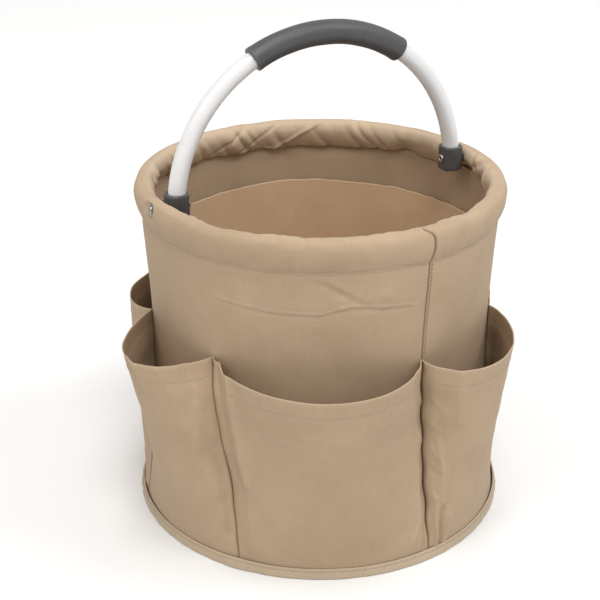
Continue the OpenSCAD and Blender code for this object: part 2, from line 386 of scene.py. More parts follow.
def rise(x, start, end):
    # 0 before start and 1 after end, 3 t^2 - 2 t^3 between them
    t = np.clip((x - start) / (end - start), 0.0, 1.0)
    return t * t * (3.0 - 2.0 * t)


def hill(x, width):
    # bell exp(-(x / width)^2)
    return np.exp(-((x / width) ** 2))


def turnFrom(a, centre):
    # degrees from centre to a by the short way round
    return (a - centre + 180.0) % 360.0 - 180.0


def ripple(a, z, seed, waves, mostTurns, tall):
    # sum of sin(n a + k z + p) over random whole n, so it closes round the bucket; about -1 to 1
    rng = np.random.default_rng(seed)
    total = 0.0 * a + 0.0 * z
    for _ in range(waves):
        n = rng.integers(1, mostTurns + 1)
        k = rng.uniform(-2.0 * pi / tall, 2.0 * pi / tall)
        total = total + np.sin(n * np.radians(a) + k * z + rng.uniform(0.0, 2.0 * pi))
    return 0.8 * total / np.sqrt(waves)


def around(r, a, z):
    # point at radius r, angle a and height z
    a = np.radians(a)
    return np.stack(np.broadcast_arrays(r * np.cos(a), r * np.sin(a), z), -1)


def throughPoints(points, t):
    # Catmull-Rom curve through points, t from 0 to 1 over them; ends are held straight
    p = np.asarray(points, float)
    p = np.vstack([2 * p[0] - p[1], p, 2 * p[-1] - p[-2]])
    spans = len(p) - 3
    place = np.clip(t, 0.0, 1.0) * spans
    k = np.minimum(place.astype(int), spans - 1)
    f = (place - k)[..., None]
    a, b, c, d = p[k], p[k + 1], p[k + 2], p[k + 3]
    return 0.5 * (2 * b + (c - a) * f + (2 * a - 5 * b + 4 * c - d) * f**2 + (3 * b - a - 3 * c + d) * f**3)


def closeTogether(start, end, step, spots):
    # stations from start to end, with finer ones round each (centre, half width, step) of spots
    stations = [np.arange(start, end, step)]
    for centre, half, fine in spots:
        stations.append(np.arange(centre - half, centre + half, fine))
    found = np.unique(np.round(np.concatenate(stations), 4))
    found = found[(found >= start) & (found < end)]
    return found[np.concatenate([[True], np.diff(found) > 0.04 * step])]


def meshFrom(name, points, flatU, flatV, ring=False, loop=False, ends=False, wearAndPaintedLight=0.0, crease=0.0):
    # points[i, j] in mm; quads join neighbours both ways, wrapping round i if ring and round j if loop
    rows, columns = points.shape[:2]
    i, j = np.meshgrid(
        np.arange(rows if ring else rows - 1), np.arange(columns if loop else columns - 1), indexing="ij"
    )
    i, j = i.ravel(), j.ravel()
    nextI, nextJ = (i + 1) % rows, (j + 1) % columns
    here, beside = i * columns, nextI * columns
    corners = np.stack([here + j, beside + j, beside + nextJ, here + nextJ], -1)
    faces = corners.tolist()
    uv = np.stack([
        np.stack([flatU[i], flatV[j]], -1), np.stack([flatU[i + 1], flatV[j]], -1),
        np.stack([flatU[i + 1], flatV[j + 1]], -1), np.stack([flatU[i], flatV[j + 1]], -1),
    ], 1).reshape(-1, 2)
    if ends:  # a flat lid on the first and last column of a ring
        first = (np.arange(rows)[::-1] * columns).tolist()
        last = (np.arange(rows) * columns + columns - 1).tolist()
        faces += [first, last]
        uv = np.vstack([uv, np.zeros((2 * rows, 2))])
    mesh = bpy.data.meshes.new(name)
    mesh.from_pydata((points * mm).reshape(-1, 3).tolist(), [], faces)
    mesh.uv_layers.new(name="flat").data.foreach_set("uv", (uv * mm).ravel())
    # two values per point: rubbed wear with painted light, and painted shade
    for label, amount in (("wearAndPaintedLight", wearAndPaintedLight), ("crease", crease)):
        spread = np.broadcast_to(amount, (rows, columns)).astype(np.float32)
        mesh.attributes.new(label, "FLOAT", "POINT").data.foreach_set("value", spread.ravel())
    mesh.shade_smooth()
    return mesh


def addPiece(name, mesh, material, body, nodes=(), thick=0.0):
    # thick grows a sheet's wall inward from its outer face, in mm
    piece = bpy.data.objects.new(name, mesh)
    bpy.context.scene.collection.objects.link(piece)
    mesh.materials.append(material)
    if thick:
        wall = piece.modifiers.new("wall", "SOLIDIFY")
        wall.thickness = thick * mm
        wall.offset = -1.0
    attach(piece, body)
    if nodes:
        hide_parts(*nodes)
    return piece


def outwardOf(shape, s, t, stepS, stepT):
    # unit normal of shape(s, t): the cross product of its two slopes
    alongS = shape(s + stepS, t) - shape(s - stepS, t)
    alongT = shape(s, t + stepT) - shape(s, t - stepT)
    normal = np.cross(alongS, alongT)
    return normal / np.maximum(np.linalg.norm(normal, axis=-1, keepdims=True), 1e-9)


stitchCut = {"pitch": 3.4, "length": 2.5, "radius": 0.27, "sides": 6}


def sewLine(name, shape, s, t, material, lift=0.1, radius=stitchCut["radius"], steps=(0.2, 0.2)):
    # one capsule per stitch along the line shape(s, t), arched as 0.9 - 1.2 w^2 so that its ends dip in
    path = shape(s, t)
    outward = outwardOf(shape, s, t, *steps)
    run = np.concatenate([[0.0], np.cumsum(np.linalg.norm(np.diff(path, axis=0), axis=1))])
    at = np.arange(0.5 * stitchCut["pitch"], run[-1], stitchCut["pitch"])

    def walk(distance, values):
        # values at each distance along the line, straight between its stations
        return np.stack([np.interp(distance, run, values[:, axis]) for axis in range(3)], -1)

    centre, normal = walk(at, path), walk(at, outward)
    ahead = walk(at + 0.4, path) - walk(at - 0.4, path)
    ahead /= np.linalg.norm(ahead, axis=1, keepdims=True)
    side = np.cross(normal, ahead)
    side /= np.linalg.norm(side, axis=1, keepdims=True)
    station = np.array([-1.0, -0.72, 0.0, 0.72, 1.0])
    swell = np.array([0.3, 0.9, 1.0, 0.9, 0.3]) * radius
    turn = np.linspace(0.0, 2.0 * pi, stitchCut["sides"], endpoint=False)
    half = 0.5 * stitchCut["length"]
    arch = lift + radius * (0.9 - 1.2 * station**2)
    points = (
        centre[:, None, None]
        + ahead[:, None, None] * (station * half)[None, :, None, None]
        + normal[:, None, None] * (arch[:, None] + swell[:, None] * np.sin(turn))[None, :, :, None]
        + side[:, None, None] * (swell[:, None] * np.cos(turn))[None, :, :, None]
    )
    count, rings, sides = points.shape[:3]
    ringAt, sideAt = np.meshgrid(np.arange(rings - 1), np.arange(sides), indexing="ij")
    here = ringAt * sides + sideAt
    beside = ringAt * sides + (sideAt + 1) % sides
    quads = np.stack([here, here + sides, beside + sides, beside], -1).reshape(-1, 4)
    start = (np.arange(count) * rings * sides)[:, None, None]
    faces = (quads[None] + start).reshape(-1, 4).tolist()
    faces += (np.arange(sides)[None] + start[:, 0]).tolist()
    faces += ((rings * sides - 1 - np.arange(sides))[None] + start[:, 0]).tolist()
    mesh = bpy.data.meshes.new(name)
    mesh.from_pydata((points * mm).reshape(-1, 3).tolist(), [], faces)
    mesh.shade_smooth()
    return addPiece(name, mesh, material, "bucket")


# bucket wall

wallCut = {
    "waist": 140.6, "flare": 10.4, "flareTop": 150.0, "lean": 4.4, "neck": 259.0,
    "bottom": 1.0, "top": 265.0, "cloth": 0.9,
    "seamAt": -84.6,
    "flat": (0.950, 0.266), "area": 0.240,
    "flatRadius": 143.0,  # the weave is laid out at this radius
    # the pressed-in line across the front: (degrees from its middle, height)
    "creaseMiddle": -118.0,
    "crease": [
        (-36.0, 229.8), (-29.0, 228.8), (-16.0, 226.0), (0.0, 225.7),
        (6.0, 230.6), (10.0, 231.8), (18.0, 229.2), (32.0, 226.0),
    ],
    "creaseStart": -154.0, "creaseEnd": -87.5,
    # small bumps: (angle, height, half width in degrees, half height, size)
    "knots": [
        (-112.0, 230.5, 1.3, 2.0, 0.8), (-107.5, 231.5, 1.5, 1.8, 0.7), (-99.0, 229.0, 1.2, 1.6, 0.6),
        (-99.0, 237.4, 2.4, 4.5, 0.9), (-147.0, 226.0, 2.0, 3.0, 0.5), (-150.0, 236.0, 4.0, 6.0, -0.6),
    ],
}


def wallRadius(z):
    # waist + flare (1 - z / flareTop)^2 below flareTop, and + lean ((z - flareTop) / span)^2 above it
    w = wallCut
    low = w["waist"] + w["flare"] * (1.0 - np.minimum(z / w["flareTop"], 1.0)) ** 2
    up = np.clip((z - w["flareTop"]) / (w["neck"] - w["flareTop"]), 0.0, 1.0)
    return low + w["lean"] * up**2


def wallCreaseHeight(a):
    # height of the pressed-in fold line that crosses the front, by angle
    turns, heights = zip(*wallCut["crease"])
    return np.interp(turnFrom(a, wallCut["creaseMiddle"]), turns, heights)


def wallRelief(a, z):
    # broad slack + the crease with its lip + small bumps + two slanted soft folds + the side seam
    free = rise(z, 150.0, 185.0) * (1.0 - rise(z, 247.0, 256.0))
    slack = 0.55 * ripple(a, z, 11, 16, 9, 130.0) + 0.22 * ripple(a, z, 12, 18, 26, 46.0)
    front = rise(turnFrom(a, wallCut["creaseStart"]), 0.0, 5.0)
    front = front * (1.0 - rise(turnFrom(a, wallCut["creaseEnd"]), -3.0, 0.0))
    off = z - wallCreaseHeight(a)
    swell = 0.60 * rise(off, 0.0, 4.0) * hill(off, 13.0)
    fold = front * (0.85 * hill(off, 1.1) - 0.75 * hill(off + 2.4, 1.9) + swell)
    knots = sum(
        height * hill(turnFrom(a, at), wide) * hill(z - level, tall)
        for at, level, wide, tall, height in wallCut["knots"]
    )
    slant = turnFrom(a, -119.0) * 2.5 + (z - 252.0) * 1.65  # runs down to the right
    drape = -1.4 * hill(slant, 5.0) * hill(turnFrom(a, -114.0), 8.0)
    drape = drape + 0.5 * hill(slant - 9.0, 5.0) * hill(turnFrom(a, -113.0), 8.0)
    turned = turnFrom(a, wallCut["seamAt"])
    seam = 0.45 * hill(turned - 1.1, 1.3) - 0.85 * hill(turned, 0.32) - 0.25 * hill(turned + 1.2, 1.2)
    return free * (slack + fold + knots + drape) + seam * rise(z, 170.0, 180.0)


def wallShape(a, z):
    # wall radius + relief, at each angle and height
    return around(wallRadius(z) + wallRelief(a, z), a, z)


wallA = closeTogether(-180.0, 180.0, 1.2, [(wallCut["seamAt"], 2.6, 0.16), (-112.0, 22.0, 0.6)])
wallZ = np.concatenate([np.linspace(wallCut["bottom"], 160.0, 18), np.linspace(163.0, wallCut["top"], 66)])
gridA, gridZ = np.meshgrid(wallA, wallZ, indexing="ij")
wallPoints = wallShape(gridA, gridZ)
# rubbed wear with a painted highlight: a pale line along the pressed-in crease across the front
wallCreaseWearAndHighlight = 0.75 * hill(gridZ - wallCreaseHeight(gridA), 1.2)
wallCreaseWearAndHighlight = wallCreaseWearAndHighlight * rise(turnFrom(gridA, wallCut["creaseStart"]), 0.0, 5.0) * (gridA < -87.0)
# painted shade in the groove of the side seam
wallSeamPaintedShade = 0.9 * hill(turnFrom(gridA, wallCut["seamAt"]), 0.26) * rise(gridZ, 172.0, 178.0)
wallU = np.radians(np.append(wallA, 180.0)) * wallCut["flatRadius"]
tubWall = addPiece(
    "tubWall",
    meshFrom("tubWall", wallPoints, wallU, wallZ, ring=True, wearAndPaintedLight=wallCreaseWearAndHighlight, crease=wallSeamPaintedShade),
    clothTan, "bucket", ["wall_panel"], wallCut["cloth"],
)
print("wall ready")


# rim: cloth folded over the hoop and sewn down

rimCut = {
    # outer leg from its sewn edge, over the crest, and down the inside (radius, height)
    "outline": [
        (144.7, 257.0), (146.7, 262.4), (148.9, 268.5), (149.8, 274.0), (149.5, 279.5), (147.6, 283.4),
        (144.2, 285.0), (140.4, 284.4), (137.2, 282.0), (135.9, 277.6), (136.7, 272.6), (138.8, 267.2),
        (141.6, 261.2),
    ],
    "gathers": 52, "gatherSize": 2.3, "slope": 0.0062,
    "rivetHeight": 278.5, "dimpleFloor": 146.46, "dimple": (5.4, 11.0),
    "cloth": 0.9, "flat": (0.950, 0.066), "flatRadius": 146.0, "flatLength": 60.0,
    "stitchRow": 0.05,  # where the thread runs, as a share of the way along the outline
    # places where the inner sewn edge rides up: (angle, half width, rise)
    "edgeBells": [
        (28.5, 5.0, 4.5), (40.0, 4.0, 2.0), (-1.5, 9.0, 7.0), (-14.0, 6.0, 3.0),
        (142.5, 8.0, 8.0), (131.0, 4.0, 3.0), (112.0, 4.0, 1.5),
    ],
    # long slanted folds of the inside: (angle, half width, lean, height)
    "longFolds": [
        (163.0, 1.5, 0.7, -2.2), (156.0, 2.0, 0.5, -1.8), (149.0, 2.4, 0.3, 1.2), (-7.0, 2.2, 0.8, -1.6),
        (-17.0, 2.2, 0.5, -1.4), (88.0, 1.1, 0.8, -1.2), (73.0, 1.4, 0.9, 1.3), (101.0, 1.3, 0.8, -1.1),
    ],
}


def rimLift(a, s):
    # the inner sewn edge rides up in places, as rounded bells of angle
    edge = sum(
        height * hill(turnFrom(a, at), wide)
        for at, wide, height in rimCut["edgeBells"]
    )
    crest = -1.2 * hill(turnFrom(a, -144.0), 13.0) + 1.3 * hill(turnFrom(a, -171.0), 6.0)
    notch = -0.7 * hill(turnFrom(a, -123.3), 0.9) - 0.8 * hill(turnFrom(a, -130.8), 1.2)
    high = rise(s, 0.28, 0.44) * (1.0 - rise(s, 0.62, 0.78))
    uneven = 0.45 * ripple(a, 0.0, 23, 12, 30, 100.0)
    return edge * rise(s, 0.72, 1.0) + (crest + notch) * high + uneven * high


def rimPuff(a, s, z):
    # gathers |sin(phase / 2)|^0.6 that lean with height; phase = gathers a + its own slow wander.
    # To them come creases |ripple|^0.8 and the long folds inside, and small tucks and a pinch outside
    c = rimCut
    turn = np.radians(a) - c["slope"] * (z - 261.0)
    phase = c["gathers"] * turn + 1.9 * np.sin(3 * turn + 1.0)
    phase = phase + 1.7 * np.sin(7 * turn + 2.3) + 1.5 * np.sin(17 * turn + 0.7)
    puff = np.abs(np.sin(0.5 * phase)) ** 0.6
    vary = np.clip(0.66 + 0.75 * ripple(a, z * 0.5, 21, 14, 26, 60.0), 0.06, 1.5)
    nearRivet = np.minimum(np.abs(turnFrom(a, 0.0)), np.abs(turnFrom(a, 180.0)))
    vary = vary * (0.25 + 0.75 * rise(nearRivet, 6.0, 12.0))
    inside = c["gatherSize"] * vary * puff * (0.45 * rise(s, 0.46, 0.60) + 0.55 * rise(s, 0.56, 0.85))
    sewn = -0.75 * rise(s, 0.9, 1.0)
    angle = np.radians(a)
    tucks = np.abs(np.sin(120 * angle + 2.6 * np.sin(11 * angle) + 1.9 * np.sin(29 * angle))) ** 0.7
    inPlaces = np.clip(ripple(a, 0.0, 26, 12, 30, 90.0) + 0.4, 0.0, 1.0)
    tucks = tucks * (0.12 + 0.5 * hill(s - 0.07, 0.06) * inPlaces)
    waves = 0.45 * ripple(a, z, 22, 16, 34, 40.0) * rise(s, 0.0, 0.14)
    outside = (1.0 - rise(s, 0.30, 0.46)) * (tucks * rise(s, 0.02, 0.06) + waves)
    deep = sum(
        height * hill(turnFrom(a, at) + 0.9 * (z - 270.0) * lean, wide)
        for at, wide, lean, height in c["longFolds"]
    ) * rise(s, 0.48, 0.66)
    small = 0.55 * np.abs(ripple(a - 0.35 * z, z, 27, 20, 60, 36.0)) ** 0.8
    creases = deep + small * rise(s, 0.44, 0.56) * np.clip(vary, 0.3, 1.0)
    inside = inside + creases + 0.5 * rise(s, 0.46, 0.58)
    inside = np.maximum(inside, -0.05 * rise(s, 0.5, 0.6))  # never sinks into the hoop
    drawnIn = np.clip(0.7 + ripple(a, 0.0, 28, 12, 40, 90.0), 0.0, 1.6)
    pinch = -0.42 * hill(s - c["stitchRow"], 0.016) * drawnIn
    return inside + sewn + outside + pinch


def rimSeam(a, s):
    # the side seam carries on over the rim and drifts round at the crest
    line = wallCut["seamAt"] + 0.4 * np.sin(pi * np.clip(s / 0.35, 0.0, 1.0)) - 2.6 * rise(s, 0.32, 0.52)
    turned = turnFrom(a, line)
    return turned, 0.55 * hill(turned - 1.1, 1.2) - 1.1 * hill(turned, 0.40)


def rimShape(a, s):
    # point of the outline at s, moved along its normal by puff and seam, then up by the lift, at angle a
    outline = throughPoints(rimCut["outline"], s)
    slope = throughPoints(rimCut["outline"], s + 0.004) - throughPoints(rimCut["outline"], s - 0.004)
    slope = slope / np.maximum(np.linalg.norm(slope, axis=-1, keepdims=True), 1e-9)
    r, z = outline[..., 0], outline[..., 1]
    push = rimPuff(a, s, z) + rimSeam(a, s)[1] * (1.0 - rise(s, 0.5, 0.6))
    r = r + slope[..., 1] * push
    z = z - slope[..., 0] * push + rimLift(a, s)
    for side in (0.0, 180.0):  # the cloth is pulled flat under each outer rivet head
        across = np.hypot(149.0 * np.sin(np.radians(turnFrom(a, side))), z - rimCut["rivetHeight"])
        near = (1.0 - rise(across, *rimCut["dimple"])) * (s < 0.5) * (np.abs(turnFrom(a, side)) < 90.0)
        r = r - np.maximum(r - rimCut["dimpleFloor"], 0.0) * near
    return around(r, a, z)


rimA = closeTogether(-180.0, 180.0, 0.62, [
    (wallCut["seamAt"] - 1.2, 2.6, 0.2), (-180.0 + 3.2, 3.2, 0.3), (180.0 - 3.2, 3.2, 0.3), (0.0, 4.4, 0.3),
])
rimS = np.linspace(0.0, 1.0, 62)
gridA, gridS = np.meshgrid(rimA, rimS, indexing="ij")
rimPoints = rimShape(gridA, gridS)
# rubbed wear with a painted highlight along the crest, stronger in places; then painted light over the
# whole inside of the hem, which faces down into the shade of the bucket
crestWearAndHighlightInPlaces = np.clip(0.6 + 0.5 * ripple(gridA, 0.0, 24, 10, 16, 90.0), 0.0, 1.0)
rimWearAndPaintedLight = 0.35 * hill(gridS - 0.5, 0.09) * crestWearAndHighlightInPlaces + 1.2 * rise(gridS, 0.52, 0.64)
# painted shade in the side seam's groove where it crosses the rim
rimSeamPaintedShade = 0.95 * hill(rimSeam(gridA, gridS)[0], 0.34) * (1.0 - rise(gridS, 0.5, 0.56))
rimU = np.radians(np.append(rimA, 180.0)) * rimCut["flatRadius"]
rimV = rimS * rimCut["flatLength"]
rimHem = addPiece(
    "rimHem",
    meshFrom("rimHem", rimPoints, rimU, rimV, ring=True, wearAndPaintedLight=rimWearAndPaintedLight, crease=rimSeamPaintedShade),
    clothTan, "bucket", ["rim_casing"], rimCut["cloth"],
)
print("rim ready")


# lining

liningCut = {
    "bottom": 5.2, "top": 228.0, "gap": 1.7, "draw": 1.6, "cloth": 0.9,
    "flat": (0.935, 0.226), "area": 0.198, "flatRadius": 140.0, "flatLength": 223.0,
}


def liningShape(a, v):
    # wall radius - gap - draw v^3, slack only inward; the top edge wavers by three ripples
    c = liningCut
    edge = 1.3 * ripple(a, 0.0, 31, 9, 7, 100.0) + 0.7 * np.abs(ripple(a, 0.0, 32, 12, 22, 100.0))
    edge = edge + 0.25 * ripple(a, 0.0, 35, 14, 70, 100.0)
    z = c["bottom"] + (c["top"] + edge - c["bottom"]) * v
    slack = np.abs(0.9 * ripple(a, z, 33, 16, 9, 120.0)) + 0.35 * np.abs(ripple(a, z, 34, 18, 30, 50.0))
    lip = 0.08 * hill(v - 0.995, 0.006)
    slack = slack * rise(v, 0.03, 0.2) * (1.0 - 0.4 * rise(v, 0.9, 1.0))
    r = wallRadius(z) - c["gap"] - c["draw"] * v**3 - slack - lip
    return around(r, a, z)


liningA = np.arange(-180.0, 180.0, 1.2)
liningV = np.concatenate([np.linspace(0.0, 0.9, 50), np.linspace(0.91, 1.0, 22)])
gridA, gridV = np.meshgrid(liningA, liningV, indexing="ij")
flatU = np.radians(np.append(liningA, 180.0)) * liningCut["flatRadius"]
flatV = liningV * liningCut["flatLength"]
liningCloth = addPiece(
    "liningCloth",
    meshFrom("liningCloth", liningShape(gridA, gridV), flatU, flatV, ring=True),
    litClothLining, "bucket", ["lining"], liningCut["cloth"],
)


# floor of the bucket

def discGrid(count):
    # square grid drawn out to a disc: x = p sqrt(1 - q^2 / 2), y = q sqrt(1 - p^2 / 2)
    line = np.linspace(-1.0, 1.0, count)
    p, q = np.meshgrid(line, line, indexing="ij")
    return p * np.sqrt(1.0 - q**2 / 2.0), q * np.sqrt(1.0 - p**2 / 2.0), line


def layDisc(name, radius, level, material, node, thick):
    # a flat disc at one level, a little rubbed at its edge
    x, y, line = discGrid(90)
    points = np.stack([x * radius, y * radius, np.full(x.shape, level)], -1)
    wearAndPaintedLight = 0.4 * hill(np.hypot(x, y) - 1.0, 0.02)
    mesh = meshFrom(name, points, line * radius, line * radius, wearAndPaintedLight=wearAndPaintedLight)
    return addPiece(name, mesh, material, "bucket", [node], thick)


baseCut = {
    "liningRadius": 148.6, "liningLevel": 5.1, "liningFlat": (0.298, 0.298), "liningArea": 0.0697,
    "clothRadius": 154.6, "clothLevel": 0.9, "clothFlat": (0.310, 0.310), "clothArea": 0.0755,
    "cloth": 0.9,
}
floorLining = layDisc(
    "floorLining", baseCut["liningRadius"], baseCut["liningLevel"],
    litClothLining, "base_lining", baseCut["cloth"],
)
baseCloth = layDisc(
    "baseCloth", baseCut["clothRadius"], baseCut["clothLevel"],
    clothTan, "base_cloth", baseCut["cloth"],
)
print("lining and base ready")


# pockets

pocketCut = {
    "top": 177.0, "dip": 3.0, "foot": 1.4, "footRadius": 154.4, "held": 9.5, "stand": 1.15,
    "seams": [-153.5, -85.5, -36.5, 33.5, 92.5, 164.5, 206.5],
    "leans": [11.0, 3.0, 0.0, 0.0, 0.0, 3.0, 11.0],
    "lifts": [7.0, 0.0, 0.0, 0.0, 0.0, 0.0, 7.0], "wander": [0.2, 0.42, 0.3, 0.3, 0.3, 0.3, 0.2],
    "seamHalf": 0.01, "hem": 14.5, "cloth": 0.9,
}
# Folds are (u, v) to (u, v), width and height in mm; u runs left to right seen from outside, v upward.
# Kinks of the mouth's edge are (u, half width, height)
pocketSet = [
    {
        "name": "frontPocket", "node": "front_pocket", "depth": 43.0, "skew": 1.12,
        "flat": (0.232, 0.178), "seed": 51,
        "kinks": [(0.075, 0.022, 2.6), (0.115, 0.014, -1.6)],
        "folds": [
            (0.060, 1.0, 0.055, 0.50, 6.0, -2.6), (0.135, 0.97, 0.115, 0.45, 5.0, 2.6),
            (0.12, 0.45, 0.08, 0.10, 6.0, 1.2),
            (0.30, 0.80, 0.44, 0.74, 4.0, 0.7), (0.40, 0.82, 0.60, 0.77, 4.0, 0.7),
            (0.95, 0.80, 0.955, 0.20, 4.5, 1.1),
            (0.985, 0.35, 0.97, 0.05, 2.5, -1.8), (0.93, 0.98, 0.97, 0.70, 4.0, -1.3),
            (0.90, 0.10, 0.98, 0.22, 3.0, 1.2),
            (0.955, 0.87, 0.99, 0.80, 2.2, 1.0), (0.95, 0.66, 0.99, 0.60, 2.0, 1.0),
            (0.955, 0.52, 0.99, 0.47, 2.0, -0.9),
        ],
    },
    {
        "name": "rightPocket", "node": "right_pocket", "depth": 38.0, "skew": 0.66,
        "flat": (0.175, 0.178), "seed": 52,
        "folds": [
            (0.035, 0.30, 0.06, 0.03, 3.0, 2.6), (0.10, 0.24, 0.085, 0.02, 2.6, -2.4),
            (0.16, 0.18, 0.12, 0.02, 3.0, 1.8),
            (0.06, 1.0, 0.05, 0.60, 5.0, -1.6), (0.12, 0.98, 0.14, 0.72, 4.0, 1.2),
            (0.05, 0.62, 0.08, 0.40, 2.6, 1.6),
            (0.02, 0.83, 0.07, 0.78, 1.8, 1.2), (0.02, 0.70, 0.06, 0.67, 1.6, 1.1),
            (0.02, 0.57, 0.06, 0.52, 1.6, 1.2),
            (0.02, 0.46, 0.07, 0.43, 1.6, -1.2), (0.02, 0.33, 0.06, 0.30, 1.6, 1.2),
            (0.13, 0.45, 0.11, 0.22, 3.0, -1.0),
        ],
    },
    {
        "name": "backRightPocket", "node": "back_right_pocket", "depth": 20.0, "skew": 2.2,
        "flat": (0.200, 0.176), "seed": 53,
        "folds": [
            (0.06, 0.95, 0.05, 0.5, 5.0, -1.1), (0.93, 0.97, 0.95, 0.6, 5.0, -1.2),
            (0.9, 0.2, 0.95, 0.03, 3.0, 1.0),
        ],
    },
    {
        "name": "backPocket", "node": "back_pocket", "depth": 32.0, "skew": 1.0,
        "flat": (0.190, 0.176), "seed": 54,
        "folds": [
            (0.07, 0.96, 0.05, 0.6, 4.5, -1.1), (0.94, 0.95, 0.95, 0.55, 5.0, -1.0),
            (0.1, 0.2, 0.06, 0.03, 3.0, 1.0),
        ],
    },
    {
        "name": "backLeftPocket", "node": "back_left_pocket", "depth": 20.0, "skew": 2.4,
        "flat": (0.205, 0.176), "seed": 55,
        "folds": [(0.2, 0.95, 0.22, 0.6, 6.0, -0.9), (0.9, 0.2, 0.94, 0.03, 3.0, 1.0)],
    },
    {
        "name": "leftPocket", "node": "left_pocket", "depth": 45.0, "skew": 1.4,
        "flat": (0.165, 0.178), "seed": 56,
        "folds": [
            (0.58, 0.985, 0.60, 0.84, 3.0, -1.7), (0.66, 0.99, 0.66, 0.86, 3.5, 1.1),
            (0.90, 0.99, 0.92, 0.84, 3.0, -1.9),
            (0.80, 0.98, 0.82, 0.86, 3.0, 1.2), (0.86, 0.70, 0.93, 0.35, 6.0, 1.6),
            (0.965, 0.60, 0.965, 0.15, 4.0, -2.0),
            (0.88, 0.12, 0.95, 0.28, 4.0, 1.2), (0.93, 0.80, 0.90, 0.60, 4.0, 1.2),
        ],
    },
]


def foldRelief(facts, u, v):
    # each fold is a bell of the distance to its line, fading at both ends of it
    wide, tall = facts["flat"][0] / mm, facts["flat"][1] / mm
    total = 0.0 * u + 0.0 * v
    for u0, v0, u1, v1, width, height in facts["folds"]:
        lineX, lineY = (u1 - u0) * wide, (v1 - v0) * tall
        share = ((u - u0) * wide * lineX + (v - v0) * tall * lineY) / (lineX**2 + lineY**2)
        held = np.clip(share, 0.0, 1.0)
        away = np.hypot((u - u0) * wide - held * lineX, (v - v0) * tall - held * lineY)
        total = total + height * hill(away, width)
    return total


def pocketShape(index):
    facts = pocketSet[index]

    def shape(u, v):
        # belly = sin(pi u^skew)^0.8 carries the radius from the seams out to the pocket's depth
        c = pocketCut
        inU = np.clip(u, 0.0, 1.0)
        belly = np.maximum(np.sin(pi * inU ** facts["skew"]), 0.0) ** 0.8
        kink = sum(height * hill(inU - at, wide) for at, wide, height in facts.get("kinks", ()))
        z = c["foot"] + v * (c["top"] - c["foot"] - c["dip"] * belly + kink * v**6)
        footGap = c["footRadius"] - wallRadius(c["foot"]) - c["stand"]
        low = np.clip(1.0 - v, 0.0, 1.0)
        lift = c["lifts"][index] * (inU < 0.5) + c["lifts"][index + 1] * (inU >= 0.5)
        lift = lift * rise(v, 0.42, 0.66) * (1.0 - rise(v, 0.84, 1.0))
        seam = wallRadius(z) + c["stand"] + footGap * low**5 + lift
        mouth = c["neckOut"] + facts["depth"]
        climb = np.maximum(z - c["held"], 0.0) / (c["top"] - c["held"])
        full = c["footRadius"] + (mouth - c["footRadius"]) * climb
        r = seam + (full - seam) * belly
        a0 = c["seams"][index] + c["seamHalf"] + c["leans"][index] * low**0.9
        a1 = c["seams"][index + 1] - c["seamHalf"] + c["leans"][index + 1] * low**0.9
        still = rise(v, 0.02, 0.10)
        a0 = a0 + c["wander"][index] * still * ripple(0.0, z, 80 + index % 6, 7, 1, 26.0)
        a1 = a1 + c["wander"][index + 1] * still * ripple(0.0, z, 80 + (index + 1) % 6, 7, 1, 26.0)
        a = a0 + (a1 - a0) * u
        calm = rise(v, 0.03, 0.14) * rise(inU, 0.0, 0.05) * rise(1.0 - inU, 0.0, 0.05)
        wide = facts["flat"][0] / mm
        slack = 0.8 * ripple(u * 90.0, z, facts["seed"], 14, 7, 160.0)
        slack = slack + 0.28 * ripple(u * 90.0, z, facts["seed"] + 20, 16, 30, 60.0)
        hemLine = c["top"] - c["dip"] * belly - c["hem"]
        edge = 0.22 * rise(z, hemLine - 1.0, hemLine) - 0.12 * hill(z - hemLine, 0.9)
        free = rise(v, 0.0, 0.05) * rise(np.minimum(inU, 1.0 - inU) * wide, 0.0, 2.4)
        push = (slack + edge) * calm + foldRelief(facts, inU, v) * free
        return around(r + push, a, z)

    return shape


pocketCut["neckOut"] = wallCut["waist"] + 1.5  # a pocket's depth is measured from here
pocketU = 0.5 - 0.5 * np.cos(pi * np.linspace(0.0, 1.0, 130))  # closer together at the seams
pocketU = 0.55 * pocketU + 0.45 * np.linspace(0.0, 1.0, 130)
pocketV = np.concatenate([np.linspace(0.0, 0.88, 72), np.linspace(0.887, 1.0, 26)])
gridU, gridV = np.meshgrid(pocketU, pocketV, indexing="ij")
pocketShapes = [pocketShape(index) for index in range(len(pocketSet))]
for facts, shape in zip(pocketSet, pocketShapes):
    width, height = facts["flat"]
    wearAndPaintedLight = 0.5 * hill(gridV - 1.0, 0.012) + 0.12 * hill(gridV - 0.917, 0.01)
    nearSeam = np.minimum(gridU, 1.0 - gridU) * width / mm
    # painted shade in the narrow slits beside each seam, in the pocket's lower part
    pocketSlitPaintedShade = 0.75 * hill(nearSeam, 1.5) * rise(gridV, 0.01, 0.06) * (1.0 - rise(gridV, 0.36, 0.62))
    mesh = meshFrom(
        facts["name"], shape(gridU, gridV), pocketU * width / mm, pocketV * height / mm,
        wearAndPaintedLight=wearAndPaintedLight, crease=pocketSlitPaintedShade,
    )
    piece = addPiece(facts["name"], mesh, clothTan, "bucket", [facts["node"]], pocketCut["cloth"])
print("pockets ready")


# binding tape round the foot

tapeCut = {
    # the tape's section, from its inner foot round the outside to its inner top (radius, height)
    "section": [
        (155.2, 0.25), (156.4, 0.0), (157.3, 0.4), (157.5, 1.5), (157.15, 3.3), (156.65, 5.1),
        (156.1, 6.9), (155.6, 8.2), (155.0, 8.6), (154.7, 7.6), (154.9, 5.0), (155.1, 2.2),
    ],
    "joinAt": -147.2, "flat": (1.002, 0.012), "stitchHeight": 6.4,
    "stitchRow": 5.85 / 12.0,  # near the top of the section's outer side
    "flatRadius": 157.0, "flatLength": 22.0,
}


